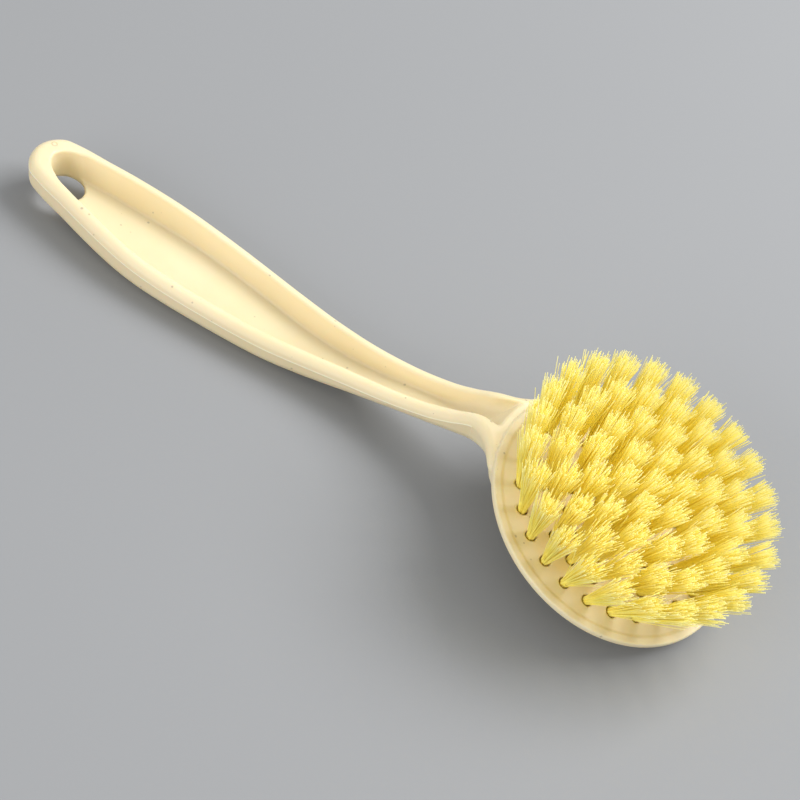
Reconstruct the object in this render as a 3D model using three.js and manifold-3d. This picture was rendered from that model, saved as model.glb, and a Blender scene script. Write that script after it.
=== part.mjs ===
// Long-handled round dish brush: one moulded handle-and-head piece, and bristle tufts set in the head.
// Millimetres, +Z up. The brush lies on its back with the bristles up. +X points from the grip to the head.
import * as THREE from "three";
import { ParametricGeometry } from "three/addons/geometries/ParametricGeometry.js";
import { mergeVertices } from "three/addons/utils/BufferGeometryUtils.js";
import Module from "manifold-3d";

const wasm = await Module();
wasm.setup();

// ---- driving dimensions ----

// Head: a disc with a flat face, a thin edge and a back that is flat in the middle.
const HEAD_RADIUS = 39;
const HEAD_THICKNESS = 9;
const HEAD_EDGE = 1.3;
const EDGE_CHAMFER = 0.2;
const BACK_FLAT_RADIUS = 25;
const BACK_CURVE_INNER_PULL = 6;
const BACK_CURVE_OUTER_PULL = 3.5;
const BACK_CURVE_STEPS = 5;
const RIM_RIDGE_INNER = 36.6;
const RIM_RIDGE_OUTER = 38.3;
const RIM_RIDGE_HEIGHT = 0.4;
const RIM_RIDGE_SLOPE = 0.4;
const HEAD_TILT = THREE.MathUtils.degToRad(15);
const FACE_CENTRE_HEIGHT = 15.7;

// Handle: distances run back from the centre of the head's face, heights up from the table.
const TIP_DISTANCE = 205.4;
const TIP_ROUND_START = 199.6;
const TIP_HALF_FLAT = 0.6;
const LOFT_START = 22;
const NECK_HALF_WIDTH = 6.4;
const NECK_FILLET = 12;
const COLLAR_RADIUS = 41.2;
const COLLAR_FADE_START = 29;
const FLARE_START = 39;
const FLARE_END = 50;
const FLARE_LEAN = 0.5;
const FLARE_CORNER = 8;
const GRIP_CORNER = 4.2;
const LARGEST_CORNER_SHARE = 0.8;
const NECK_TOP_ROUNDING = 2.6;
const GRIP_TOP_ROUNDING = 3.1;
const GRIP_START = 110;
const NECK_END = 60;
const SIDE_BULGE = 0.565;
const HEAD_BULGE_SHARE = 0.15;
const BULGE_FADE_START = 33;
const BULGE_FADE_END = 41;
const TIP_BULGE = 0.6;
const TIP_BULGE_START = 184;
const UNDER_LEAN = 0.15;
const FACE_STEP = 0.3;
const HOLLOW_WALL = 2;
const FLOOR_THICKNESS = 2.6;
const FLOOR_WIDTH_SHARE = 0.88;
const INNER_CORNER = 1.8;
const CHANNEL_TIP = 199;
const CHANNEL_ROUND_START = 190;
const CHANNEL_HEAD_RADIUS = 41;
const CHANNEL_TOP_SHARE = 1.04;
const CHANNEL_OVERCUT = 2;
const CHANNEL_NEAR_NECK_HALF = 4.4;
const CHANNEL_NEAR_SPREAD = 0.05;
const CHANNEL_NEAR_SPREAD_START = 45;
const LOFT_END_GAP = 0.1;
const HANG_HOLE_RADIUS = 5.4;
const HANG_HOLE_DISTANCE = 192;

// Tufts: rings of holes about the centre of the head, leaning outward more with each ring.
const HOLE_RADIUS = 1.65;
const HOLE_DEPTH = 5.5;
const TUFT_TIP_RADIUS = 3.1;
const TUFT_LENGTH = 24.2;
const TUFT_FLARE_START = 1;
const TUFT_CLEARANCE = 0.3;
const TUFT_ROOT_RADIUS = HOLE_RADIUS - TUFT_CLEARANCE;
const OUTER_SPLAY = THREE.MathUtils.degToRad(21);
const RING_SPACING = 7.6;
const TUFT_RINGS = [
  { name: "centre", count: 1, turn: 0 },
  { name: "inner", count: 6, turn: 40 },
  { name: "second", count: 12, turn: 13 },
  { name: "third", count: 18, turn: 4 },
  { name: "outer", count: 24, turn: 0 },
];
// These two are left for the visual model, so that the part keeps to 60 meshes.
const TUFTS_LEFT_OUT = ["tuft_centre_01", "tuft_inner_01"];

const HEAD_SEGMENTS = 72;
const TUFT_SIDES = 8;
const HANG_HOLE_SIDES = 40;
const STATIONS = 44;
const CORNER_STEPS = 4;
// Cutting bodies run this far past the faces they cut.
const OVERCUT = 30;
const MERGE_DISTANCE = 1e-4;

// ---- shapes ----

// Smooth curve through [position, value] pairs, with slopes taken from each pair's neighbours.
function curveThrough(pairs) {
  const slope = (i) => {
    const [a, b] = [pairs[Math.max(i - 1, 0)], pairs[Math.min(i + 1, pairs.length - 1)]];
    return (b[1] - a[1]) / (b[0] - a[0]);
  };
  return (x) => {
    const last = pairs.length - 2;
    const found = pairs.findIndex((p, i) => i <= last && x <= pairs[i + 1][0]);
    const i = found < 0 ? last : found;
    const span = pairs[i + 1][0] - pairs[i][0];
    const t = THREE.MathUtils.clamp((x - pairs[i][0]) / span, 0, 1);
    const h00 = (1 + 2 * t) * (1 - t) ** 2;
    const h01 = t * t * (3 - 2 * t);
    return (
      h00 * pairs[i][1] +
      h01 * pairs[i + 1][1] +
      t * (1 - t) ** 2 * span * slope(i) -
      t * t * (1 - t) * span * slope(i + 1)
    );
  };
}

const faceHeight = (distance) => FACE_CENTRE_HEIGHT + distance * Math.tan(HEAD_TILT);

const rimHeight = curveThrough([
  ...[LOFT_START, 34, 40].map((distance) => [distance, faceHeight(distance) - FACE_STEP]),
  [46, 26],
  [53, 22.2],
  [60, 19],
  [73, 15.3],
  [93, 12.1],
  [112, 10.4],
  [131, 10.3],
  [155, 11],
  [180, 13.3],
  [TIP_DISTANCE, 15.3],
]);

const undersideCurve = curveThrough([
  [LOFT_START, 16],
  [30, 17.3],
  [38, 17.8],
  [42, 16.2],
  [46, 15],
  [53, 13.4],
  [67, 9.7],
  [80, 6],
  [93, 2.8],
  [106, 0.7],
  [118, 0],
  [154, 0],
  [167, 0.5],
  [185, 2.2],
  [TIP_DISTANCE, 4.1],
]);
const undersideHeight = (distance) => Math.max(0, undersideCurve(distance));

const gripHalfWidth = curveThrough([
  [45, NECK_HALF_WIDTH],
  [60, 6.7],
  [73, 7.1],
  [86, 7.8],
  [99, 9.3],
  [112, 11.2],
  [125, 12.7],
  [140, 14],
  [152, 14.5],
  [161, 14.2],
  [170, 13.2],
  [180, 11.6],
  [188.6, 9.9],
  [194.5, 8.6],
  [200.6, 6.8],
  [TIP_DISTANCE, 5.6],
]);

// The neck's sides flare in fillets, drawn in the plane of the face, into a collar
// that fades into the head's rim.
const filletCentreY = NECK_HALF_WIDTH + NECK_FILLET;
const filletCentreReach = Math.sqrt((COLLAR_RADIUS + NECK_FILLET) ** 2 - filletCentreY ** 2);
const filletEndReach = (filletCentreReach * COLLAR_RADIUS) / (COLLAR_RADIUS + NECK_FILLET);

// Half width along the top of the rim, before its outer edge is rounded.
function rimHalfWidth(distance) {
  const reach = distance / Math.cos(HEAD_TILT);
  if (reach < filletEndReach) {
    const collar = THREE.MathUtils.smoothstep(reach, COLLAR_FADE_START, filletEndReach);
    const radius = THREE.MathUtils.lerp(HEAD_RADIUS - FACE_STEP, COLLAR_RADIUS, collar);
    return Math.sqrt(radius ** 2 - reach ** 2);
  }
  if (reach < filletCentreReach) {
    return filletCentreY - Math.sqrt(NECK_FILLET ** 2 - (filletCentreReach - reach) ** 2);
  }
  return gripHalfWidth(distance);
}

const roundedEnd = (distance, start, end) =>
  Math.sqrt(Math.max(0, 1 - Math.max(0, (distance - start) / (end - start)) ** 2));

const topRounding = (distance) =>
  THREE.MathUtils.lerp(
    NECK_TOP_ROUNDING,
    GRIP_TOP_ROUNDING,
    THREE.MathUtils.smoothstep(distance, NECK_END, GRIP_START),
  );

// Half width at the parting line, where the side is widest.
function partingHalfWidth(distance) {
  const onNeck = THREE.MathUtils.smoothstep(distance, BULGE_FADE_START, BULGE_FADE_END);
  const share = THREE.MathUtils.lerp(HEAD_BULGE_SHARE, 1, onNeck);
  const atTip = THREE.MathUtils.smoothstep(distance, TIP_BULGE_START, TIP_ROUND_START);
  const bulge = SIDE_BULGE * topRounding(distance) * share + TIP_BULGE * atTip;
  const tapered = (rimHalfWidth(distance) + bulge) * roundedEnd(distance, TIP_ROUND_START, TIP_DISTANCE);
  return Math.max(TIP_HALF_FLAT, tapered);
}

// How far an edge of this radius rounds away at the tip.
function tipRounding(distance, radius) {
  const past = Math.max(0, distance - TIP_DISTANCE + radius);
  return radius - Math.sqrt(radius ** 2 - past ** 2);
}

const outerCorner = (distance) =>
  THREE.MathUtils.lerp(
    FLARE_CORNER,
    GRIP_CORNER,
    THREE.MathUtils.smoothstep(distance, FLARE_START, FLARE_END),
  );

// The trough's far side opens out with the rim, all the way to the head.
const channelFarHalf = (distance) =>
  (rimHalfWidth(Math.min(distance, TIP_ROUND_START)) - HOLLOW_WALL) *
  roundedEnd(distance, CHANNEL_ROUND_START, CHANNEL_TIP);

// The trough's near side stays straight along the neck, and leaves a solid shoulder beside the head.
function channelNearHalf(distance) {
  const spread = CHANNEL_NEAR_SPREAD * Math.max(0, distance - CHANNEL_NEAR_SPREAD_START);
  const straight = distance < NECK_END ? CHANNEL_NEAR_NECK_HALF + spread : Infinity;
  return Math.min(channelFarHalf(distance), straight);
}

// Closed outline in the YZ plane: rounded top edges, sides that lean in to bottomHalf, rounded lower corners.
function section({ half, bottomHalf, top, bottom, topRadius, bottomRadius }) {
  const height = LARGEST_CORNER_SHARE * (top - bottom);
  const upper = Math.min(topRadius, LARGEST_CORNER_SHARE * half, height / 2);
  const lower = Math.min(bottomRadius, LARGEST_CORNER_SHARE * bottomHalf, height - upper);
  const arc = (y, z, radius, from) =>
    new THREE.EllipseCurve(y, z, radius, radius, from, from + Math.PI / 2).getPoints(CORNER_STEPS);
  return [
    ...arc(upper - half, top - upper, upper, Math.PI / 2),
    ...arc(lower - bottomHalf, bottom + lower, lower, Math.PI),
    ...arc(bottomHalf - lower, bottom + lower, lower, 1.5 * Math.PI),
    ...arc(half - upper, top - upper, upper, 0),
    new THREE.Vector2(upper - half, top),
  ];
}

function outerSection(distance) {
  const topRadius = topRounding(distance);
  const bottomRadius = outerCorner(distance);
  const half = partingHalfWidth(distance);
  const top = rimHeight(distance) - tipRounding(distance, topRadius);
  const bottom = undersideHeight(distance) + tipRounding(distance, bottomRadius);
  const flareLean = FLARE_LEAN * Math.max(0, FLARE_START - distance);
  const lean = UNDER_LEAN * (top - topRadius - bottom) + flareLean;
  const bottomHalf = Math.max(LARGEST_CORNER_SHARE * half - flareLean, half - lean);
  return section({ half, bottomHalf, top, bottom, topRadius, bottomRadius });
}

function channelSection(distance) {
  const far = channelFarHalf(distance);
  const near = channelNearHalf(distance);
  const half = (far + near) / 2;
  const outline = section({
    half: half * CHANNEL_TOP_SHARE,
    bottomHalf: half * FLOOR_WIDTH_SHARE,
    top: rimHeight(distance) + CHANNEL_OVERCUT,
    bottom: undersideHeight(distance) + FLOOR_THICKNESS,
    topRadius: CHANNEL_OVERCUT / 2,
    bottomRadius: INNER_CORNER,
  });
  return outline.map((p) => new THREE.Vector2(p.x + (far - near) / 2, p.y));
}

// Closed body through sections at distances back from the head, with a flat cap at each end.
function loft(distances, sectionAt) {
  const rings = distances.map((distance) =>
    sectionAt(distance).map((p) => new THREE.Vector3(-distance, p.x, p.y)),
  );
  const capOf = (ring) => {
    const centre = ring.slice(1).reduce((sum, p) => sum.add(p), new THREE.Vector3());
    return ring.map(() => centre.clone().divideScalar(ring.length - 1));
  };
  const rows = [capOf(rings[0]), ...rings, capOf(rings.at(-1))];
  const around = rows[0].length - 1;
  const along = rows.length - 1;
  const surface = (u, v, target) => {
    const row = rows[Math.round(v * along)];
    target.copy(row[around - Math.round(u * around)]);
  };
  return new ParametricGeometry(surface, around, along);
}

// Distances from start to end, closer together toward the end so that a rounded tip stays round.
function spreadTo(start, end, count) {
  const shareLeft = (i) => 1 - Math.sin(((i / count) * Math.PI) / 2);
  return Array.from({ length: count + 1 }, (_, i) => end - (end - start) * shareLeft(i));
}

function toSolid(geometry) {
  const bare = geometry.index ? geometry.toNonIndexed() : geometry.clone();
  bare.deleteAttribute("normal");
  bare.deleteAttribute("uv");
  const merged = mergeVertices(bare, MERGE_DISTANCE);
  const corners = merged.index.array;
  const triVerts = [];
  for (let i = 0; i < corners.length; i += 3) {
    const [a, b, c] = [corners[i], corners[i + 1], corners[i + 2]];
    if (a !== b && b !== c && c !== a) {
      triVerts.push(a, b, c);
    }
  }
  return new wasm.Manifold(
    new wasm.Mesh({
      numProp: 3,
      vertProperties: merged.attributes.position.array,
      triVerts: new Uint32Array(triVerts),
    }),
  );
}

function toGeometry(solid) {
  const mesh = solid.getMesh();
  const geometry = new THREE.BufferGeometry();
  geometry.setAttribute("position", new THREE.BufferAttribute(mesh.vertProperties, 3));
  geometry.setIndex(new THREE.BufferAttribute(mesh.triVerts, 1));
  geometry.computeVertexNormals();
  return geometry;
}

// Cylinder along +Z from bottom to top.
function upright(radius, bottom, top, sides) {
  return new THREE.CylinderGeometry(radius, radius, top - bottom, sides)
    .rotateX(Math.PI / 2)
    .translate(0, 0, (top + bottom) / 2);
}

// ---- where the tufts stand, in the head's own frame ----

const tuftPlaces = TUFT_RINGS.flatMap((ring, ringIndex) =>
  Array.from({ length: ring.count }, (_, i) => {
    const radius = ringIndex * RING_SPACING;
    const turn = Math.PI + THREE.MathUtils.degToRad(ring.turn + (360 * i) / ring.count);
    const outward = new THREE.Vector3(Math.cos(turn), Math.sin(turn), 0);
    const lean = (OUTER_SPLAY * ringIndex) / (TUFT_RINGS.length - 1);
    const up = new THREE.Vector3(0, 0, 1);
    const axis = up.clone().multiplyScalar(Math.cos(lean)).addScaledVector(outward, Math.sin(lean));
    return {
      name: `tuft_${ring.name}_${String(i + 1).padStart(2, "0")}`,
      position: outward.multiplyScalar(radius),
      rotation: new THREE.Quaternion().setFromUnitVectors(up, axis),
    };
  }),
);

const headPose = new THREE.Matrix4().makeRotationY(HEAD_TILT).setPosition(0, 0, FACE_CENTRE_HEIGHT);

// ---- handle body ----

function headDisc() {
  const profile = new THREE.Path()
    .moveTo(0, -HEAD_THICKNESS)
    .lineTo(BACK_FLAT_RADIUS, -HEAD_THICKNESS)
    .bezierCurveTo(
      BACK_FLAT_RADIUS + BACK_CURVE_INNER_PULL, -HEAD_THICKNESS,
      HEAD_RADIUS - BACK_CURVE_OUTER_PULL, -HEAD_EDGE - BACK_CURVE_OUTER_PULL,
      HEAD_RADIUS, -HEAD_EDGE)
    .lineTo(HEAD_RADIUS, -EDGE_CHAMFER)
    .lineTo(RIM_RIDGE_OUTER, RIM_RIDGE_HEIGHT)
    .lineTo(RIM_RIDGE_INNER, RIM_RIDGE_HEIGHT)
    .lineTo(RIM_RIDGE_INNER - RIM_RIDGE_SLOPE, 0)
    .lineTo(0, 0)
    .getPoints(BACK_CURVE_STEPS);
  return new THREE.LatheGeometry(profile, HEAD_SEGMENTS).rotateX(Math.PI / 2);
}

function handleBody() {
  const outer = loft(spreadTo(LOFT_START, TIP_DISTANCE, STATIONS), outerSection);
  const channel = loft(spreadTo(LOFT_START, CHANNEL_TIP - LOFT_END_GAP, STATIONS), channelSection);
  const headGuard = upright(CHANNEL_HEAD_RADIUS, -OVERCUT, OVERCUT, HEAD_SEGMENTS)
    .applyMatrix4(headPose);
  const hangHole = upright(HANG_HOLE_RADIUS, -OVERCUT, OVERCUT, HANG_HOLE_SIDES)
    .translate(-HANG_HOLE_DISTANCE, 0, 0);
  let body = toSolid(outer)
    .subtract(toSolid(channel).subtract(toSolid(headGuard)))
    .subtract(toSolid(hangHole))
    .add(toSolid(headDisc().applyMatrix4(headPose)));
  for (const place of tuftPlaces) {
    const hole = upright(HOLE_RADIUS, -HOLE_DEPTH, HOLE_DEPTH, TUFT_SIDES)
      .applyQuaternion(place.rotation)
      .translate(...place.position)
      .applyMatrix4(headPose);
    body = body.subtract(toSolid(hole));
  }
  return toGeometry(body);
}

// ---- tufts ----

function tuftGeometry() {
  const profile = [
    [0, TUFT_CLEARANCE - HOLE_DEPTH],
    [TUFT_ROOT_RADIUS, TUFT_CLEARANCE - HOLE_DEPTH],
    [TUFT_ROOT_RADIUS, TUFT_FLARE_START],
    [TUFT_TIP_RADIUS, TUFT_LENGTH],
    [0, TUFT_LENGTH],
  ].map(([x, y]) => new THREE.Vector2(x, y));
  return new THREE.LatheGeometry(profile, TUFT_SIDES).rotateX(Math.PI / 2);
}

// ---- assembly ----

const plastic = new THREE.MeshStandardMaterial({ color: 0xf6ecc4, roughness: 0.55, metalness: 0 });
const nylon = new THREE.MeshStandardMaterial({ color: 0xfbdd52, roughness: 0.4, metalness: 0 });

const handle = new THREE.Mesh(handleBody(), plastic);
handle.name = "handle_body";

const head = new THREE.Group();
head.applyMatrix4(headPose);
for (const place of tuftPlaces) {
  if (TUFTS_LEFT_OUT.includes(place.name)) {
    continue;
  }
  const tuft = new THREE.Mesh(tuftGeometry(), nylon);
  tuft.name = place.name;
  tuft.position.copy(place.position);
  tuft.quaternion.copy(place.rotation);
  head.add(tuft);
}

const brush = new THREE.Group();
brush.add(handle, head);

// The origin lies under the middle of the brush, on the table.
const bounds = new THREE.Box3().setFromObject(brush, true);
const middle = bounds.getCenter(new THREE.Vector3());
brush.position.set(-middle.x, -middle.y, -bounds.min.z);

export default brush;
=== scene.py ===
"""Round dish brush with a long trough handle: the visual model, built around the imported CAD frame.

Lengths are in millimetres until a mesh is made. The brush frame has its origin under the centre of the
head's face, +X from the grip to the head and +Z up. to_row() moves points to the row frame, in metres.
"""

import math

import bpy
import numpy as np
from mathutils import Matrix, Vector


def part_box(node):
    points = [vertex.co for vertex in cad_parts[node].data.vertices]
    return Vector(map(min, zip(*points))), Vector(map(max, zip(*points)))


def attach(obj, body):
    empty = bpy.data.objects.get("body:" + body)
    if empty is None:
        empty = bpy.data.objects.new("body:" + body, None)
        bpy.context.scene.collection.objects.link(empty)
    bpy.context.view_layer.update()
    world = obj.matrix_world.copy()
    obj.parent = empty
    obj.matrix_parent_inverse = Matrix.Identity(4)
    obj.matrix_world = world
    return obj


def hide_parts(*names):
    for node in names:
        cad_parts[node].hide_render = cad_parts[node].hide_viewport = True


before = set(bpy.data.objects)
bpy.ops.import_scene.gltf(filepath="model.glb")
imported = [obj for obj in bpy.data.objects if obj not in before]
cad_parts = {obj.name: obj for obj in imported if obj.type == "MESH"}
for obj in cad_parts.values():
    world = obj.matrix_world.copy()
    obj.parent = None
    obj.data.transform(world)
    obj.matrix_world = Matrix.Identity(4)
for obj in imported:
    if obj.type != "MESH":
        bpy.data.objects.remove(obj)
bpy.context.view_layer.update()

MM = 0.001

# ---- driving dimensions: the CAD's, with finer roundings and a hang hole that is a little wider ----

HEAD_RADIUS = 39.0
HEAD_THICKNESS = 9.0
HEAD_EDGE = 1.3
BACK_FLAT_RADIUS = 25.0
BACK_CURVE_INNER_PULL = 6.0
BACK_CURVE_OUTER_PULL = 3.5
RIM_RIDGE_INNER = 36.6
RIM_RIDGE_FOOT = 1.0
RIM_RIDGE_TOP = 0.4
RIM_RIDGE_HEIGHT = 0.4
HEAD_TILT = math.radians(15)
FACE_CENTRE_HEIGHT = 15.7

TIP_DISTANCE = 205.0
TIP_ROUND_START = 200.6
LOFT_START = 22.0
NECK_HALF_WIDTH = 6.4
NECK_FILLET = 12.0
COLLAR_RADIUS = 41.2
COLLAR_FADE_START = 29.0
NECK_TOP_ROUNDING = 2.6
GRIP_TOP_ROUNDING = 3.1
TOP_ROUNDING_CHANGE = (60, 110)
SIDE_BULGE = 0.565
HEAD_BULGE_SHARE = 0.15
SIDE_BULGE_CHANGE = (33, 41)
TIP_EXTRA = 0.4
TIP_BULGE = 0.6
TIP_BULGE_CHANGE = (184, 200)
TIP_OUTER_START = 12.0
TIP_OUTER_LEAD = 1.0
TIP_RISE = 0.7
UNDER_LEAN = 0.15
WALL = 2.0
FLOOR_THICKNESS = 2.6
FLOOR_CORNER = 0.8
CHANNEL_LEAN = 0.15
CHANNEL_NECK_HALF = 4.4
NECK_STRAIGHT_FROM = 60.0
CHANNEL_TIP = 199.0
CHANNEL_ROUND_START = 190.0
CHANNEL_HEAD_RADIUS = 41.0
FACE_STEP = 0.3
HANG_HOLE_RADIUS = 5.7
HANG_HOLE_DISTANCE = 192.8

GATE_DISTANCE = 201.5
GATE_Y = 3.0
GATE_RADIUS = 0.8

HOLE_RADIUS = 1.65
HOLE_DEPTH = 5.5
TUFT_LENGTH = 24.2
OUTER_SPLAY = math.radians(21)
RING_SPACING = 7.6
TUFT_RINGS = (
    ("centre", 1, 0),
    ("inner", 6, 40),
    ("second", 12, 13),
    ("third", 18, 4),
    ("outer", 24, 0),
)

# The head's centre in the row frame, from the handle's own box.
HEAD_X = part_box("handle_body")[0].x / MM + TIP_DISTANCE + TIP_EXTRA


def to_row(points):
    """Points in the brush frame, in millimetres, as metres in the row frame."""
    return (np.asarray(points, float) + (HEAD_X, 0.0, 0.0)) * MM


# ---- smooth curves along the handle, by distance back from the head's centre ----


def curve_through(pairs):
    """A smooth curve through (position, value) pairs, with slopes from each pair's neighbours."""
    at, value = np.array(pairs, float).T
    before = np.maximum(np.arange(len(at)) - 1, 0)
    after = np.minimum(np.arange(len(at)) + 1, len(at) - 1)
    slope = (value[after] - value[before]) / (at[after] - at[before])

    def curve(x):
        i = np.clip(np.searchsorted(at, x, side="left") - 1, 0, len(at) - 2)
        span = at[i + 1] - at[i]
        t = np.clip((x - at[i]) / span, 0.0, 1.0)
        return (
            (1 + 2 * t) * (1 - t) ** 2 * value[i]
            + t * t * (3 - 2 * t) * value[i + 1]
            + t * (1 - t) ** 2 * span * slope[i]
            - t * t * (1 - t) * span * slope[i + 1]
        )

    return curve


def smoothstep(x, low, high):
    t = np.clip((x - low) / (high - low), 0.0, 1.0)
    return t * t * (3 - 2 * t)


def face_height(distance):
    return FACE_CENTRE_HEIGHT + distance * math.tan(HEAD_TILT)


rim_height = curve_through(
    [(d, face_height(d) - FACE_STEP) for d in (LOFT_START, 34.0, 40.0)]
    + [(46, 26), (53, 22.2), (60, 19), (73, 15.3), (93, 12.1), (112, 10.4)]
    + [(131, 10.3), (155, 11), (180, 13.3), (TIP_DISTANCE, 14.6 + TIP_RISE)]
)
underside_curve = curve_through(
    [(LOFT_START, 16), (30, 17.3), (38, 17.8), (42, 16.2), (46, 14.6), (53, 12.9)]
    + [(67, 9.2), (80, 5.6), (93, 2.7), (106, 0.7), (118, 0), (154, 0)]
    + [(167, 0.5), (185, 2.2), (TIP_DISTANCE, 3.4 + TIP_RISE)]
)
grip_half_width = curve_through(
    [(45, NECK_HALF_WIDTH), (60, 6.7), (73, 7.1), (86, 7.8), (99, 9.3), (112, 11.2)]
    + [(125, 12.7), (140, 14), (152, 14.5), (161, 14.2), (170, 13.2), (180, 11.6)]
    + [(188.6, 9.9), (194.5, 8.6), (TIP_ROUND_START, 6.8), (TIP_DISTANCE, 5.6)]
)


def underside_height(distance):
    return np.maximum(0.0, underside_curve(distance))


FILLET_Y = NECK_HALF_WIDTH + NECK_FILLET
FILLET_REACH = math.sqrt((COLLAR_RADIUS + NECK_FILLET) ** 2 - FILLET_Y**2)
FILLET_END = FILLET_REACH * COLLAR_RADIUS / (COLLAR_RADIUS + NECK_FILLET)


def rounded_end(distance, start, end):
    return np.sqrt(np.maximum(0.0, 1 - np.maximum(0.0, (distance - start) / (end - start)) ** 2))


def half_width(distance):
    reach = distance / math.cos(HEAD_TILT)
    collar = HEAD_RADIUS - FACE_STEP + (COLLAR_RADIUS - HEAD_RADIUS + FACE_STEP) * smoothstep(
        reach, COLLAR_FADE_START, FILLET_END
    )
    on_collar = np.sqrt(np.maximum(collar**2 - reach**2, 0.0))
    on_fillet = FILLET_Y - np.sqrt(np.maximum(NECK_FILLET**2 - (FILLET_REACH - reach) ** 2, 0.0))
    on_grip = grip_half_width(distance) * rounded_end(distance, TIP_ROUND_START, TIP_DISTANCE)
    return np.where(reach < FILLET_END, on_collar, np.where(reach < FILLET_REACH, on_fillet, on_grip))


def top_rounding(distance):
    on_grip = smoothstep(distance, *TOP_ROUNDING_CHANGE)
    return NECK_TOP_ROUNDING + (GRIP_TOP_ROUNDING - NECK_TOP_ROUNDING) * on_grip


def outer_half_width(distance):
    """Half width at the parting line, where the side is widest."""
    share = HEAD_BULGE_SHARE + (1 - HEAD_BULGE_SHARE) * smoothstep(distance, *SIDE_BULGE_CHANGE)
    bulge = SIDE_BULGE * top_rounding(distance) * share
    bulge = bulge + TIP_BULGE * smoothstep(distance, *TIP_BULGE_CHANGE)
    end = rounded_end(distance, TIP_ROUND_START - TIP_OUTER_LEAD, TIP_DISTANCE + TIP_EXTRA)
    on_grip = (grip_half_width(distance) + bulge) * end
    return np.where(distance < TIP_ROUND_START - TIP_OUTER_START, half_width(distance) + bulge, on_grip)


def channel_half_width(distance):
    open_width = half_width(np.minimum(distance, TIP_ROUND_START)) - WALL
    return open_width * rounded_end(distance, CHANNEL_ROUND_START, CHANNEL_TIP)


def channel_near_half_width(distance):
    """The trough's near side, which stays straight where the far side opens out toward the head."""
    half = channel_half_width(distance)
    return np.where(distance < NECK_STRAIGHT_FROM, np.minimum(half, CHANNEL_NECK_HALF), half)


# ---- distance fields ----


def round_meet(a, b, radius):
    """Where both solids are, with the edge between them rounded."""
    u = np.maximum(radius + a, 0.0)
    v = np.maximum(radius + b, 0.0)
    return np.minimum(-radius, np.maximum(a, b)) + np.sqrt(u * u + v * v)


def round_join(a, b, radius):
    """Where either solid is, with the corner between them filled to a radius."""
    return -round_meet(-a, -b, radius)


def outline_distance(outline, x, y):
    """Signed distance of points to a closed outline in plan, negative inside."""
    start, end = outline, np.roll(outline, -1, axis=0)
    nearest = np.full(x.shape, np.inf)
    inside = np.zeros(x.shape, bool)
    for (ax, ay), (bx, by) in zip(start, end):
        ux, uy = bx - ax, by - ay
        t = np.clip(((x - ax) * ux + (y - ay) * uy) / max(ux * ux + uy * uy, 1e-12), 0.0, 1.0)
        nearest = np.minimum(nearest, (x - ax - t * ux) ** 2 + (y - ay - t * uy) ** 2)
        if ay != by:
            crosses = (ay > y) != (by > y)
            inside ^= crosses & (x < ax + (y - ay) * ux / uy)
    return np.where(inside, -1.0, 1.0) * np.sqrt(nearest)


PLAN_STEP = 0.3
PLAN_MARGIN = 3
PLAN_X = np.arange(-TIP_DISTANCE - PLAN_MARGIN, HEAD_RADIUS + PLAN_MARGIN, PLAN_STEP)
PLAN_Y = np.arange(0, HEAD_RADIUS + PLAN_MARGIN + 1, PLAN_STEP)
# Keeps a place in the table short of its last row, so that the next row is there to blend with.
BEFORE_LAST = 1.001


def plan_field(half, near, far, count):
    """The distance to the plan outline y = +-half(distance), as a function of x and y."""
    turn = np.linspace(0, math.pi / 2, count)
    along = near + (far - near) * np.sin(turn)
    width = half(along)
    outline = np.concatenate(
        [np.column_stack([-along, width]), np.column_stack([-along, -width])[::-1]]
    )
    x, y = np.meshgrid(PLAN_X, PLAN_Y, indexing="ij")
    table = outline_distance(outline, x, y)

    def field(px, py):
        i = np.clip((px - PLAN_X[0]) / PLAN_STEP, 0, len(PLAN_X) - BEFORE_LAST)
        j = np.clip(np.abs(py) / PLAN_STEP, 0, len(PLAN_Y) - BEFORE_LAST)
        i0, j0 = i.astype(int), j.astype(int)
        s, t = i - i0, j - j0
        return (
            table[i0, j0] * (1 - s) * (1 - t)
            + table[i0 + 1, j0] * s * (1 - t)
            + table[i0, j0 + 1] * (1 - s) * t
            + table[i0 + 1, j0 + 1] * s * t
        )

    return field


PLAN_POINTS = 260
outer_plan = plan_field(outer_half_width, LOFT_START, TIP_DISTANCE + TIP_EXTRA, PLAN_POINTS)
channel_far_plan = plan_field(channel_half_width, LOFT_START, CHANNEL_TIP, PLAN_POINTS)
channel_near_plan = plan_field(channel_near_half_width, LOFT_START, CHANNEL_TIP, PLAN_POINTS)

UNDER_RIM_ROUNDING = 0.7
CHANNEL_CORNER = 1.2
HOLE_ROUNDING = 0.5
EDGE_ROUNDING = 0.45
BACK_ROUNDING = 1.0
# The handle's top dips under the head's face, so that only the face shows.
TUCK_START = 38.0
TUCK_FADE = 3.0
TUCK_DEPTH = 1.2
UNDER_ROUNDING = 4.2
UNDER_ROUNDING_SHARE = 0.8
NECK_UNDER_RISE = 0.5
NECK_UNDER_RISE_IN = (40, 48)
NECK_UNDER_RISE_OUT = (75, 100)
# How far the handle may stand out below the head's back, growing toward the neck.
HEAD_BLEND_DEPTH = 15.0
HEAD_BLEND_START = 3.0
HEAD_BLEND_END = 42
HEAD_BLEND_ROUNDING = 5.0
# The trough runs out into the head with a rounder and higher floor.
END_CORNER = 4.5
END_CORNER_CHANGE = (46, 60)
RUN_OUT_RISE = 3.0
RUN_OUT_FROM = 60.0
HANG_HOLE_FLARE = 0.45
HANG_HOLE_FLARE_DEPTH = 1.0
SLOPE_STEP = 0.5


def head_frame(x, z):
    """Distances along the face (away from the neck) and out of it, in the head's own tilted frame."""
    c, s = math.cos(HEAD_TILT), math.sin(HEAD_TILT)
    up = z - FACE_CENTRE_HEIGHT
    return x * c - up * s, x * s + up * c


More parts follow.
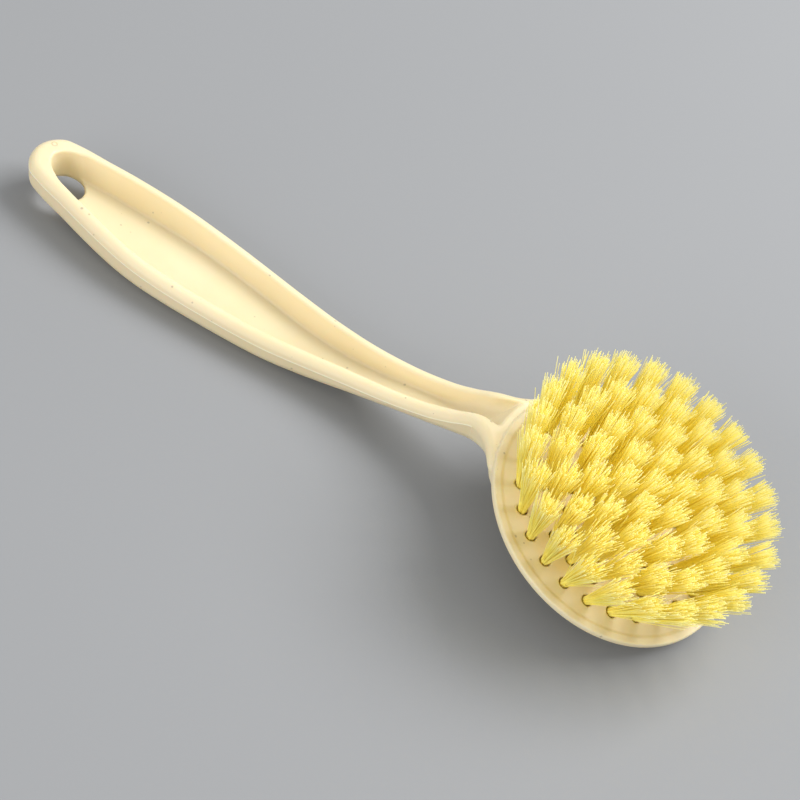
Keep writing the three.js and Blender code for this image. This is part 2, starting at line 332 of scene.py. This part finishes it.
def back_profile():
    """(radius, depth) pairs down the curved back of the head."""
    t = np.linspace(0, 1, 60)
    pulls = (
        (BACK_FLAT_RADIUS, HEAD_THICKNESS),
        (BACK_FLAT_RADIUS + BACK_CURVE_INNER_PULL, HEAD_THICKNESS),
        (HEAD_RADIUS - BACK_CURVE_OUTER_PULL, HEAD_EDGE + BACK_CURVE_OUTER_PULL),
        (HEAD_RADIUS, HEAD_EDGE),
    )
    weights = ((1 - t) ** 3, 3 * t * (1 - t) ** 2, 3 * t * t * (1 - t), t**3)
    return sum(w[:, None] * np.array(p) for w, p in zip(weights, pulls)).T


BACK_RADII, BACK_DEPTHS = back_profile()


def below_back(radius, out):
    depth = np.interp(radius, BACK_RADII, BACK_DEPTHS)
    slope = (np.interp(radius + SLOPE_STEP, BACK_RADII, BACK_DEPTHS) - depth) / SLOPE_STEP
    return (-out - depth) / np.sqrt(1 + slope**2)


def head_back_field(radius, out):
    return round_meet(below_back(radius, out), radius - HEAD_RADIUS, BACK_ROUNDING)


def head_field(x, y, z):
    along, out = head_frame(x, z)
    radius = np.sqrt(along**2 + y**2)
    on_ridge = smoothstep(radius, RIM_RIDGE_INNER - RIM_RIDGE_FOOT, RIM_RIDGE_INNER + RIM_RIDGE_TOP)
    face = out - RIM_RIDGE_HEIGHT * on_ridge
    edge = radius - HEAD_RADIUS
    back = below_back(radius, out)
    return round_meet(round_meet(face, edge, EDGE_ROUNDING), back, EDGE_ROUNDING)


def surface_slope(height, distance):
    return (height(distance + SLOPE_STEP) - height(distance - SLOPE_STEP)) / (2 * SLOPE_STEP)


def body_field(x, y, z):
    """The handle with its trough and hang hole, without the head."""
    distance = np.clip(-x, LOFT_START, TIP_DISTANCE)
    rim, under = rim_height(distance), underside_height(distance)
    under_neck = smoothstep(distance, *NECK_UNDER_RISE_IN)
    past_neck = smoothstep(distance, *NECK_UNDER_RISE_OUT)
    raised = under + NECK_UNDER_RISE * under_neck * (1 - past_neck)
    along, out = head_frame(x, z)
    radius = np.sqrt(along**2 + y**2)
    tuck = TUCK_DEPTH * (1 - smoothstep(radius, TUCK_START - TUCK_FADE, TUCK_START))
    top = (z - rim) / np.sqrt(1 + surface_slope(rim_height, distance) ** 2) + tuck
    bottom = (raised - z) / np.sqrt(1 + surface_slope(underside_height, distance) ** 2)
    corner = top_rounding(distance)
    side = outer_plan(x, y) + UNDER_LEAN * np.maximum(0.0, rim - corner - z)
    body = round_meet(side, top, corner)
    body = round_meet(body, bottom, np.minimum(UNDER_ROUNDING, UNDER_ROUNDING_SHARE * (rim - raised)))
    toward_neck = (distance - LOFT_START) / (HEAD_BLEND_END - LOFT_START)
    allowed = HEAD_BLEND_DEPTH * toward_neck**2 - HEAD_BLEND_START
    body = round_meet(body, head_back_field(radius, out) - allowed, HEAD_BLEND_ROUNDING)
    run_out = RUN_OUT_RISE * (1 - smoothstep(distance, CHANNEL_HEAD_RADIUS, RUN_OUT_FROM))
    floor = under + FLOOR_THICKNESS + run_out - z
    walls = np.where(y > 0, channel_far_plan(x, y), channel_near_plan(x, y)) + CHANNEL_LEAN * (rim - z)
    end_wall = CHANNEL_HEAD_RADIUS - radius
    near_end = 1 - smoothstep(distance, *END_CORNER_CHANGE)
    end_corner = FLOOR_CORNER + (END_CORNER - FLOOR_CORNER) * near_end
    trough = round_meet(round_meet(walls, end_wall, CHANNEL_CORNER), floor, end_corner)
    body = round_meet(body, -trough, UNDER_RIM_ROUNDING)
    below = np.maximum(0.0, under + FLOOR_THICKNESS - HANG_HOLE_FLARE_DEPTH - z)
    hang = np.sqrt((x + HANG_HOLE_DISTANCE) ** 2 + y**2) - HANG_HOLE_RADIUS - HANG_HOLE_FLARE * below
    return round_meet(body, -hang, HOLE_ROUNDING)


# The corner between handle and head is sharp at the face and filled below it.
JOIN_TOP = 0.25
JOIN_UNDER = 3.0
JOIN_CHANGE = (0.6, 4.0)


def tuft_places():
    """(name, root, axis) of each tuft in the head's frame: root on the face, axis along the tuft."""
    places = []
    for ring, (name, count, first) in enumerate(TUFT_RINGS):
        for i in range(count):
            turn = math.pi + math.radians(first + 360 * i / count)
            outward = np.array([math.cos(turn), math.sin(turn), 0.0])
            lean = OUTER_SPLAY * ring / (len(TUFT_RINGS) - 1)
            axis = outward * math.sin(lean) + np.array([0.0, 0.0, math.cos(lean)])
            places.append((f"tuft_{name}_{i + 1:02d}", outward * ring * RING_SPACING, axis))
    return places


PLACES = tuft_places()
HOLE_LIP = 0.35
HOLE_REACH = 2


def brush_field(x, y, z):
    along, out = head_frame(x, z)
    join = JOIN_TOP + (JOIN_UNDER - JOIN_TOP) * smoothstep(-out, *JOIN_CHANGE)
    field = round_join(body_field(x, y, z), head_field(x, y, z), join)
    near_face = (np.abs(out) < HOLE_DEPTH + HOLE_REACH) & (along**2 + y**2 < HEAD_RADIUS**2)
    if near_face.any():
        p = np.column_stack([along[near_face], y[near_face], out[near_face]])
        part = field[near_face]
        for _, root, axis in PLACES:
            offset = p - root
            rise = offset @ axis
            across = np.sqrt(np.maximum((offset**2).sum(1) - rise**2, 0.0))
            hole = round_meet(across - HOLE_RADIUS, -rise - HOLE_DEPTH, HOLE_LIP)
            part = round_meet(part, -hole, HOLE_LIP)
        field[near_face] = part
    return field


# ---- a mesh from a distance field ----


def graded(stops, steps):
    """Grid positions through the stops, with its own step in each stretch."""
    parts = [
        np.linspace(a, b, max(2, int(round((b - a) / step)) + 1))[:-1]
        for a, b, step in zip(stops, stops[1:], steps)
    ]
    return np.concatenate(parts + [[stops[-1]]])


NET_BLOCK = 16


def net_of(field, xs, ys, zs):
    """Vertices and quads of the field's zero surface, one vertex in each cell that it crosses."""
    grid = np.empty((len(xs), len(ys), len(zs)))
    for i in range(0, len(xs), NET_BLOCK):
        block = np.meshgrid(xs[i : i + NET_BLOCK], ys, zs, indexing="ij")
        grid[i : i + NET_BLOCK] = field(*(b.ravel() for b in block)).reshape(block[0].shape)
    inside = grid < 0
    corners = [(a, b, c) for a in (0, 1) for b in (0, 1) for c in (0, 1)]
    shape = tuple(n - 1 for n in grid.shape)

    def corner_of(array, o):
        return array[o[0] : o[0] + shape[0], o[1] : o[1] + shape[1], o[2] : o[2] + shape[2]]

    count = sum(corner_of(inside, o).astype(np.int8) for o in corners)
    cells = np.argwhere((count > 0) & (count < len(corners)))
    number = np.full(shape, -1, np.int64)
    number[tuple(cells.T)] = np.arange(len(cells))
    axes = (xs, ys, zs)
    total = np.zeros((len(cells), 3))
    hits = np.zeros(len(cells))
    for o in corners:
        for axis in range(3):
            if o[axis]:
                continue
            p = list(o)
            p[axis] = 1
            a, b = cells + o, cells + p
            fa, fb = grid[tuple(a.T)], grid[tuple(b.T)]
            cut = (fa < 0) != (fb < 0)
            t = np.where(cut, fa / np.where(cut, fa - fb, 1.0), 0.0)
            point = np.column_stack([axes[k][a[:, k]] for k in range(3)])
            point[:, axis] += t * (axes[axis][b[:, axis]] - axes[axis][a[:, axis]])
            total += np.where(cut[:, None], point, 0.0)
            hits += cut
    points = total / hits[:, None]
    quads = []
    for axis in range(3):
        first = np.take(inside, range(inside.shape[axis] - 1), axis=axis)
        second = np.take(inside, range(1, inside.shape[axis]), axis=axis)
        edges = np.argwhere(first != second)
        u, v = (axis + 1) % 3, (axis + 2) % 3
        ring = []
        for du, dv in ((0, 0), (-1, 0), (-1, -1), (0, -1)):
            cell = edges.copy()
            cell[:, u] += du
            cell[:, v] += dv
            ring.append(number[tuple(cell.T)])
        quad = np.column_stack(ring)
        starts_inside = inside[tuple(edges.T)]
        quads.append(np.where(starts_inside[:, None], quad, quad[:, ::-1]))
    return points, np.concatenate(quads)


def gradient(field, p, step=0.02):
    steps = np.eye(3) * step
    return np.column_stack([(field(*(p + s).T) - field(*(p - s).T)) / (2 * step) for s in steps])


LEAST_GRADIENT = 0.25
LONGEST_MOVE = 0.3
TINY = 1e-9


def settle(field, points, rounds=3):
    """Moves the points onto the field's zero surface, and gives the outward direction there."""
    for _ in range(rounds):
        g = gradient(field, points)
        value = field(*points.T)
        move = g * (value / np.maximum((g * g).sum(1), LEAST_GRADIENT))[:, None]
        length = np.sqrt((move * move).sum(1))
        points = points - move * np.minimum(1.0, LONGEST_MOVE / np.maximum(length, TINY))[:, None]
    g = gradient(field, points)
    return points, g / np.maximum(np.sqrt((g * g).sum(1)), TINY)[:, None]


def mesh_object(name, points, faces, material, body="root", normals=None):
    mesh = bpy.data.meshes.new(name)
    mesh.from_pydata([tuple(p) for p in points], [], [tuple(int(i) for i in f) for f in faces])
    mesh.polygons.foreach_set("use_smooth", np.ones(len(mesh.polygons), bool))
    mesh.update()
    if normals is not None:
        mesh.normals_split_custom_set_from_vertices([tuple(n) for n in normals])
    mesh.materials.append(material)
    obj = bpy.data.objects.new(name, mesh)
    bpy.context.scene.collection.objects.link(obj)
    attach(obj, body)
    return obj


# ---- materials ----


class Nodes:
    """A short way to write a node material."""

    def __init__(self, name):
        self.material = bpy.data.materials.new(name)
        self.material.use_nodes = True
        self.tree = self.material.node_tree
        self.tree.nodes.clear()
        self.coords = self.add("ShaderNodeTexCoord").outputs["Object"]

    def add(self, kind, inputs=None, **settings):
        node = self.tree.nodes.new(kind)
        for key, value in settings.items():
            setattr(node, key, value)
        for key, value in (inputs or {}).items():
            self.set(node.inputs[key], value)
        return node

    def set(self, socket, value):
        if isinstance(value, bpy.types.NodeSocket):
            self.tree.links.new(value, socket)
        else:
            socket.default_value = value

    def noise(self, scale, detail=2.0, roughness=0.5, vector=None):
        inputs = {"Vector": vector or self.coords, "Scale": scale, "Detail": detail, "Roughness": roughness}
        return self.add("ShaderNodeTexNoise", inputs).outputs["Fac"]

    def remap(self, value, low, high, to_low=0.0, to_high=1.0):
        inputs = {"Value": value, "From Min": low, "From Max": high, "To Min": to_low, "To Max": to_high}
        return self.add("ShaderNodeMapRange", inputs).outputs["Result"]

    def mix(self, amount, first, second, blend="MIX"):
        node = self.add("ShaderNodeMix", data_type="RGBA", blend_type=blend)
        for socket, value in zip((node.inputs[0], node.inputs[6], node.inputs[7]), (amount, first, second)):
            self.set(socket, value)
        return node.outputs[2]

    def math(self, operation, first, second=0.0):
        node = self.add("ShaderNodeMath", operation=operation)
        self.set(node.inputs[0], first)
        self.set(node.inputs[1], second)
        return node.outputs[0]

    def bump(self, height, strength, distance, normal=None):
        inputs = {"Height": height, "Strength": strength, "Distance": distance}
        if normal is not None:
            inputs["Normal"] = normal
        return self.add("ShaderNodeBump", inputs).outputs["Normal"]

    def finish(self, shader):
        out = self.add("ShaderNodeOutputMaterial")
        self.tree.links.new(shader, out.inputs["Surface"])
        return self.material


def rgb(red, green, blue):
    return (red, green, blue, 1.0)


def handle_plastic():
    n = Nodes("cream_moulded_plastic")
    cloud = n.noise(35.0, 3.0)
    base = n.mix(n.remap(cloud, 0.3, 0.7), rgb(0.772, 0.658, 0.408), rgb(0.812, 0.702, 0.458))
    speck = n.add("ShaderNodeTexVoronoi", {"Vector": n.coords, "Scale": 240.0, "Randomness": 1.0})
    own = n.add("ShaderNodeSeparateColor", {"Color": speck.outputs["Color"]}).outputs[0]
    size = n.remap(own, 0, 1, 0.035, 0.13)
    dot = n.remap(n.math("SUBTRACT", size, speck.outputs["Distance"]), 0.0, 0.04, 0.0, 0.6)
    base = n.mix(dot, base, rgb(0.36, 0.30, 0.20))
    # The parting line is bumped, which is real, and painted lighter, which is a painted highlight where
    # light catches the ridge.
    parting = n.math("ABSOLUTE", n.add("ShaderNodeAttribute", attribute_name="parting").outputs["Fac"])
    parting_ridge_and_highlight = n.remap(parting, 0.12, 0.32, 1.0, 0.0)
    base = n.mix(n.math("MULTIPLY", parting_ridge_and_highlight, 0.9), base, rgb(0.98, 0.92, 0.70))
    place = n.add("ShaderNodeSeparateXYZ", {"Vector": n.coords})
    gate_x = n.math("SUBTRACT", place.outputs[0], (HEAD_X - GATE_DISTANCE) * MM)
    gate_y = n.math("SUBTRACT", place.outputs[1], GATE_Y * MM)
    gate_xx = n.math("MULTIPLY", gate_x, gate_x)
    gate_yy = n.math("MULTIPLY", gate_y, gate_y)
    gate_r = n.math("SQRT", n.math("ADD", gate_xx, gate_yy))
    ring = n.math("ABSOLUTE", n.math("SUBTRACT", gate_r, GATE_RADIUS * MM))
    mark = n.remap(ring, 0.0001, 0.0003, 1.0, 0.0)
    base = n.mix(n.math("MULTIPLY", mark, 0.6), base, rgb(0.55, 0.45, 0.25))
    grain = n.noise(2600.0, 2.0)
    sweep = n.noise(420.0, 4.0, 0.6)
    normal = n.bump(grain, 0.06, 0.0002)
    normal = n.bump(sweep, 0.05, 0.0004, normal)
    normal = n.bump(parting_ridge_and_highlight, 0.5, 0.0002, normal)
    normal = n.bump(n.math("SUBTRACT", 1.0, mark), 0.5, 0.0002, normal)
    rough = n.remap(sweep, 0.25, 0.75, 0.36, 0.5)
    shader = n.add(
        "ShaderNodeBsdfPrincipled",
        {
            "Base Color": base,
            "Roughness": rough,
            "Normal": normal,
            "IOR": 1.49,
            "Subsurface Weight": 0.25,
            "Subsurface Radius": (1.0, 0.65, 0.3),
            "Subsurface Scale": 0.004,
        },
    )
    return n.finish(shader.outputs[0])


NYLON_SHEEN = 0.05


def bristle_nylon():
    n = Nodes("yellow_nylon")
    own = n.add("ShaderNodeAttribute", attribute_name="filament").outputs["Fac"]
    rise = n.add("ShaderNodeAttribute", attribute_name="rise").outputs["Fac"]
    # Painted shade and light: filaments are painted a deeper, more saturated yellow toward the roots, where
    # shade falls between them, and paler toward the tips, a painted highlight where light falls on them.
    painted_root_shade = n.mix(own, rgb(1.0, 0.905, 0.18), rgb(1.0, 0.935, 0.29))
    pale = n.mix(own, rgb(1.0, 0.935, 0.36), rgb(1.0, 0.955, 0.52))
    tone = n.mix(n.remap(rise, 0.55, 1.0), painted_root_shade, pale)
    streak = n.remap(n.noise(900.0, 2.0), 0.3, 0.7, 0.97, 1.0)
    grey = n.add("ShaderNodeCombineColor", {0: streak, 1: streak, 2: streak}).outputs[0]
    tone = n.mix(1.0, tone, grey, "MULTIPLY")
    rough = n.remap(n.noise(500.0), 0.3, 0.7, 0.22, 0.36)
    normal = n.bump(n.noise(3000.0), 0.03, 0.0001)
    body = n.add("ShaderNodeBsdfDiffuse", {"Color": tone, "Normal": normal})
    glint = {"Color": rgb(1.0, 1.0, 0.9), "Roughness": rough, "Normal": normal}
    sheen = n.add("ShaderNodeBsdfAnisotropic", glint)
    both = n.add("ShaderNodeMixShader", {0: NYLON_SHEEN})
    n.tree.links.new(body.outputs[0], both.inputs[1])
    n.tree.links.new(sheen.outputs[0], both.inputs[2])
    return n.finish(both.outputs[0])


def anchor_metal():
    n = Nodes("anchor_brass")
    tone = n.mix(n.remap(n.noise(800.0), 0.3, 0.7), rgb(0.60, 0.46, 0.22), rgb(0.70, 0.56, 0.30))
    rough = n.remap(n.noise(1500.0), 0.3, 0.7, 0.3, 0.45)
    shader = n.add("ShaderNodeBsdfPrincipled", {"Base Color": tone, "Metallic": 1.0, "Roughness": rough})
    return n.finish(shader.outputs[0])


def table_paint():
    n = Nodes("pale_grey_table")
    tone = n.mix(n.remap(n.noise(1.5, 3.0), 0.3, 0.7), rgb(0.272, 0.277, 0.284), rgb(0.285, 0.289, 0.296))
    normal = n.bump(n.noise(700.0), 0.05, 0.0005)
    shader = n.add("ShaderNodeBsdfPrincipled", {"Base Color": tone, "Roughness": 0.75, "Normal": normal})
    shader.inputs["Specular IOR Level"].default_value = 0.2
    return n.finish(shader.outputs[0])


PLASTIC = handle_plastic()
NYLON = bristle_nylon()
METAL = anchor_metal()

# ---- handle and head ----

FINE = 0.55
COARSE = 1.3
GRID_MARGIN = 1.5
HIGHEST = 27.0
# The grid is coarse only along the plain middle of the grip.
COARSE_FROM, COARSE_TO = -186.0, -64.0
GRID_HALF = HEAD_RADIUS + GRID_MARGIN
grid_x = graded((-TIP_DISTANCE - GRID_MARGIN, COARSE_FROM, COARSE_TO, GRID_HALF), (FINE, COARSE, FINE))
grid_y = graded((-GRID_HALF, GRID_HALF), (FINE,))
grid_z = graded((-GRID_MARGIN, HIGHEST + GRID_MARGIN), (FINE,))
points, quads = net_of(brush_field, grid_x, grid_y, grid_z)
points, normals = settle(brush_field, points)
handle = mesh_object("handle_moulding", to_row(points), quads, PLASTIC, normals=normals)
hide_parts("handle_body")

# Height above the parting line on the sides, and far from it everywhere else; the plastic bumps the line
# and paints a highlight along it.
PARTING_SKIN = 1.2
PARTING_FROM = 46
FAR_FROM_PARTING = 5.0
back = np.clip(-points[:, 0], LOFT_START, TIP_DISTANCE)
above_parting = points[:, 2] - rim_height(back) + top_rounding(back)
on_side = (outer_plan(points[:, 0], points[:, 1]) > -PARTING_SKIN) & (back > PARTING_FROM)
handle.data.attributes.new("parting", "FLOAT", "POINT").data.foreach_set(
    "value", np.where(on_side, above_parting, FAR_FROM_PARTING)
)

# ---- bristles ----

FILAMENTS = 130
FILAMENT_RADIUS = 0.105
FILAMENT_SIDES = 4
FILAMENT_STEPS = 6
ROOT_SPREAD = 1.25
ROOT_DEPTH = 5.0
FLARE_FROM = 0.5
TIP_SPREAD = 3.75
TIP_SPREAD_RANGE = (0.75, 1.25)
GOLDEN_ANGLE = 2.399963
ANGLE_JITTER = 0.4
LEAN_SPREAD = 0.55
STRAY_CHANCE = 0.04
STRAY_FACTOR = 3.0
BEND_SPREAD = 0.6
LONGEST_EXTRA = 0.5
SHORTEST_CUT = 2.8
# The bundle opens mostly in a straight cone, and the rest with the square of the height.
STRAIGHT_SHARE = 0.75


def head_to_brush(p):
    """Points in the head's frame, as points in the brush frame."""
    c, s = math.cos(HEAD_TILT), math.sin(HEAD_TILT)
    return np.column_stack(
        [p[:, 0] * c + p[:, 2] * s, p[:, 1], FACE_CENTRE_HEIGHT - p[:, 0] * s + p[:, 2] * c]
    )


def across_pair(axis):
    side = np.cross(axis, (0.0, 1.0, 0.0))
    side /= np.linalg.norm(side)
    return side, np.cross(axis, side)


def bundle(rng, root, axis):
    """Vertices, faces and per-vertex values of one tuft's filaments, in the head's frame."""
    side, other = across_pair(axis)
    points, faces, own, rise = [], [], [], []
    turn = np.arange(FILAMENT_SIDES) * 2 * math.pi / FILAMENT_SIDES
    for k in range(FILAMENTS):
        share = math.sqrt((k + 0.5) / FILAMENTS)
        angle = k * GOLDEN_ANGLE + rng.uniform(-ANGLE_JITTER, ANGLE_JITTER)
        out = side * math.cos(angle) + other * math.sin(angle)
        reach = share * TIP_SPREAD * rng.uniform(*TIP_SPREAD_RANGE)
        stray = rng.normal(0, LEAN_SPREAD, 2) * (STRAY_FACTOR if rng.random() < STRAY_CHANCE else 1.0)
        bend = rng.normal(0, BEND_SPREAD, 2)
        length = TUFT_LENGTH + LONGEST_EXTRA - SHORTEST_CUT * rng.uniform(0, 1) ** 2
        value = rng.uniform(0, 1)
        twist = rng.uniform(0, math.pi)
        start = len(points)
        flared = np.linspace(FLARE_FROM, length, FILAMENT_STEPS)
        heights = np.concatenate([[-ROOT_DEPTH], flared])
        for h in heights:
            t = max(0.0, (h - FLARE_FROM) / (TUFT_LENGTH - FLARE_FROM))
            opening = STRAIGHT_SHARE * t + (1 - STRAIGHT_SHARE) * t * t
            spread = share * ROOT_SPREAD + (reach - share * ROOT_SPREAD) * opening
            sway = stray * t + bend * t * (1 - t)
            centre = root + axis * h + out * spread + side * sway[0] + other * sway[1]
            for a in turn + twist:
                away = side * math.cos(a) + other * math.sin(a)
                points.append(centre + FILAMENT_RADIUS * away)
                own.append(value)
                rise.append(t)
        rows = len(heights)
        for r in range(rows - 1):
            for s in range(FILAMENT_SIDES):
                a = start + r * FILAMENT_SIDES + s
                b = start + r * FILAMENT_SIDES + (s + 1) % FILAMENT_SIDES
                faces.append((a, b, b + FILAMENT_SIDES, a + FILAMENT_SIDES))
        last = start + (rows - 1) * FILAMENT_SIDES
        faces.append(tuple(start + s for s in reversed(range(FILAMENT_SIDES))))
        faces.append(tuple(last + s for s in range(FILAMENT_SIDES)))
    return np.array(points), faces, own, rise


SEED = 7
random = np.random.default_rng(SEED)
for name, root, axis in PLACES:
    tuft_points, tuft_faces, own, rise = bundle(random, root, axis)
    in_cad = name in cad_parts
    tuft = mesh_object(f"{name}_bristles", to_row(head_to_brush(tuft_points)), tuft_faces, NYLON)
    tuft.data.polygons.foreach_set("use_smooth", np.zeros(len(tuft.data.polygons), bool))
    # rise is each point's share of the way up its filament; the nylon uses it for painted shade at the
    # roots and painted light at the tips.
    for attribute, values in (("filament", own), ("rise", rise)):
        tuft.data.attributes.new(attribute, "FLOAT", "POINT").data.foreach_set("value", values)
    if in_cad:
        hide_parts(name)

# ---- hidden anchors: a flat wire across the fold of each tuft ----

ANCHOR_HALF = (1.45, 0.17, 0.7)
ANCHOR_DEPTH = 4.6
anchor_points, anchor_faces = [], []
for _, root, axis in PLACES:
    side, other = across_pair(axis)
    start = len(anchor_points)
    for sx, sy, sz in ((a, b, c) for a in (-1, 1) for b in (-1, 1) for c in (-1, 1)):
        anchor_points.append(
            root
            + axis * (sz * ANCHOR_HALF[2] - ANCHOR_DEPTH)
            + side * sx * ANCHOR_HALF[0]
            + other * sy * ANCHOR_HALF[1]
        )
    for face in ((0, 1, 3, 2), (4, 6, 7, 5), (0, 4, 5, 1), (2, 3, 7, 6), (0, 2, 6, 4), (1, 5, 7, 3)):
        anchor_faces.append(tuple(start + i for i in face))
anchors = mesh_object("tuft_anchors", to_row(head_to_brush(np.array(anchor_points))), anchor_faces, METAL)
anchors.data.polygons.foreach_set("use_smooth", np.zeros(len(anchors.data.polygons), bool))

# ---- stage: table, light, camera ----

TABLE_HALF = 3.0
floor_mesh = bpy.data.meshes.new("table")
table_corners = [(x * TABLE_HALF, y * TABLE_HALF, 0.0) for x, y in ((-1, -1), (1, -1), (1, 1), (-1, 1))]
floor_mesh.from_pydata(table_corners, [], [(0, 1, 2, 3)])
floor_mesh.materials.append(table_paint())
floor = bpy.data.objects.new("table", floor_mesh)
bpy.context.scene.collection.objects.link(floor)

SKY_TINT = (0.97, 0.985, 1.0, 1.0)
SKY_STRENGTH = 0.62
world = bpy.data.worlds.new("studio")
world.use_nodes = True
sky = world.node_tree.nodes["Background"]
sky.inputs["Color"].default_value = SKY_TINT
sky.inputs["Strength"].default_value = SKY_STRENGTH
bpy.context.scene.world = world


# Softboxes in metres and watts: a key light behind the brush on the head's side, and a fill in front.
KEY_PLACE, KEY_SIZE, KEY_POWER = (0.5, 0.68, 0.95), (1.0, 0.8), 20.0
FILL_PLACE, FILL_SIZE, FILL_POWER = (-0.4, -1.3, 0.55), (1.2, 0.8), 10.5
BRUSH_MIDDLE = (0.0, 0.0, 0.0)


def softbox(name, place, aim, size, power):
    light = bpy.data.lights.new(name, "AREA")
    light.shape = "RECTANGLE"
    light.size, light.size_y = size
    light.energy = power
    obj = bpy.data.objects.new(name, light)
    obj.location = place
    obj.rotation_euler = (Vector(aim) - Vector(place)).to_track_quat("-Z", "Y").to_euler()
    bpy.context.scene.collection.objects.link(obj)
    return obj


softbox("key", KEY_PLACE, BRUSH_MIDDLE, KEY_SIZE, KEY_POWER)
softbox("front", FILL_PLACE, BRUSH_MIDDLE, FILL_SIZE, FILL_POWER)

# The camera's own axes and its place in the brush frame, in millimetres.
CAMERA_RIGHT = Vector((0.8210, 0.5076, 0.2614))
CAMERA_UP = Vector((-0.5406, 0.5440, 0.6417))
CAMERA_BACK = Vector((0.1835, -0.6682, 0.7210))
CAMERA_PLACE = Vector((36.1, -388.4, 426.8))
SENSOR_WIDTH = 36.0
FOCAL_LENGTH = 90.0
NEAREST = 0.01
camera_data = bpy.data.cameras.new("camera")
camera_data.sensor_width = SENSOR_WIDTH
camera_data.lens = FOCAL_LENGTH
camera_data.clip_start = NEAREST
camera = bpy.data.objects.new("camera", camera_data)
bpy.context.scene.collection.objects.link(camera)
turned = Matrix((CAMERA_RIGHT, CAMERA_UP, CAMERA_BACK)).transposed().to_4x4()
camera.matrix_world = Matrix.Translation((CAMERA_PLACE + Vector((HEAD_X, 0, 0))) * MM) @ turned
bpy.context.scene.camera = camera
bpy.context.scene.view_settings.view_transform = "Standard"
# Light is passed on many times between pale filaments, which is what makes the tufts bright.
bpy.context.scene.cycles.max_bounces = 20
bpy.context.scene.cycles.diffuse_bounces = 16
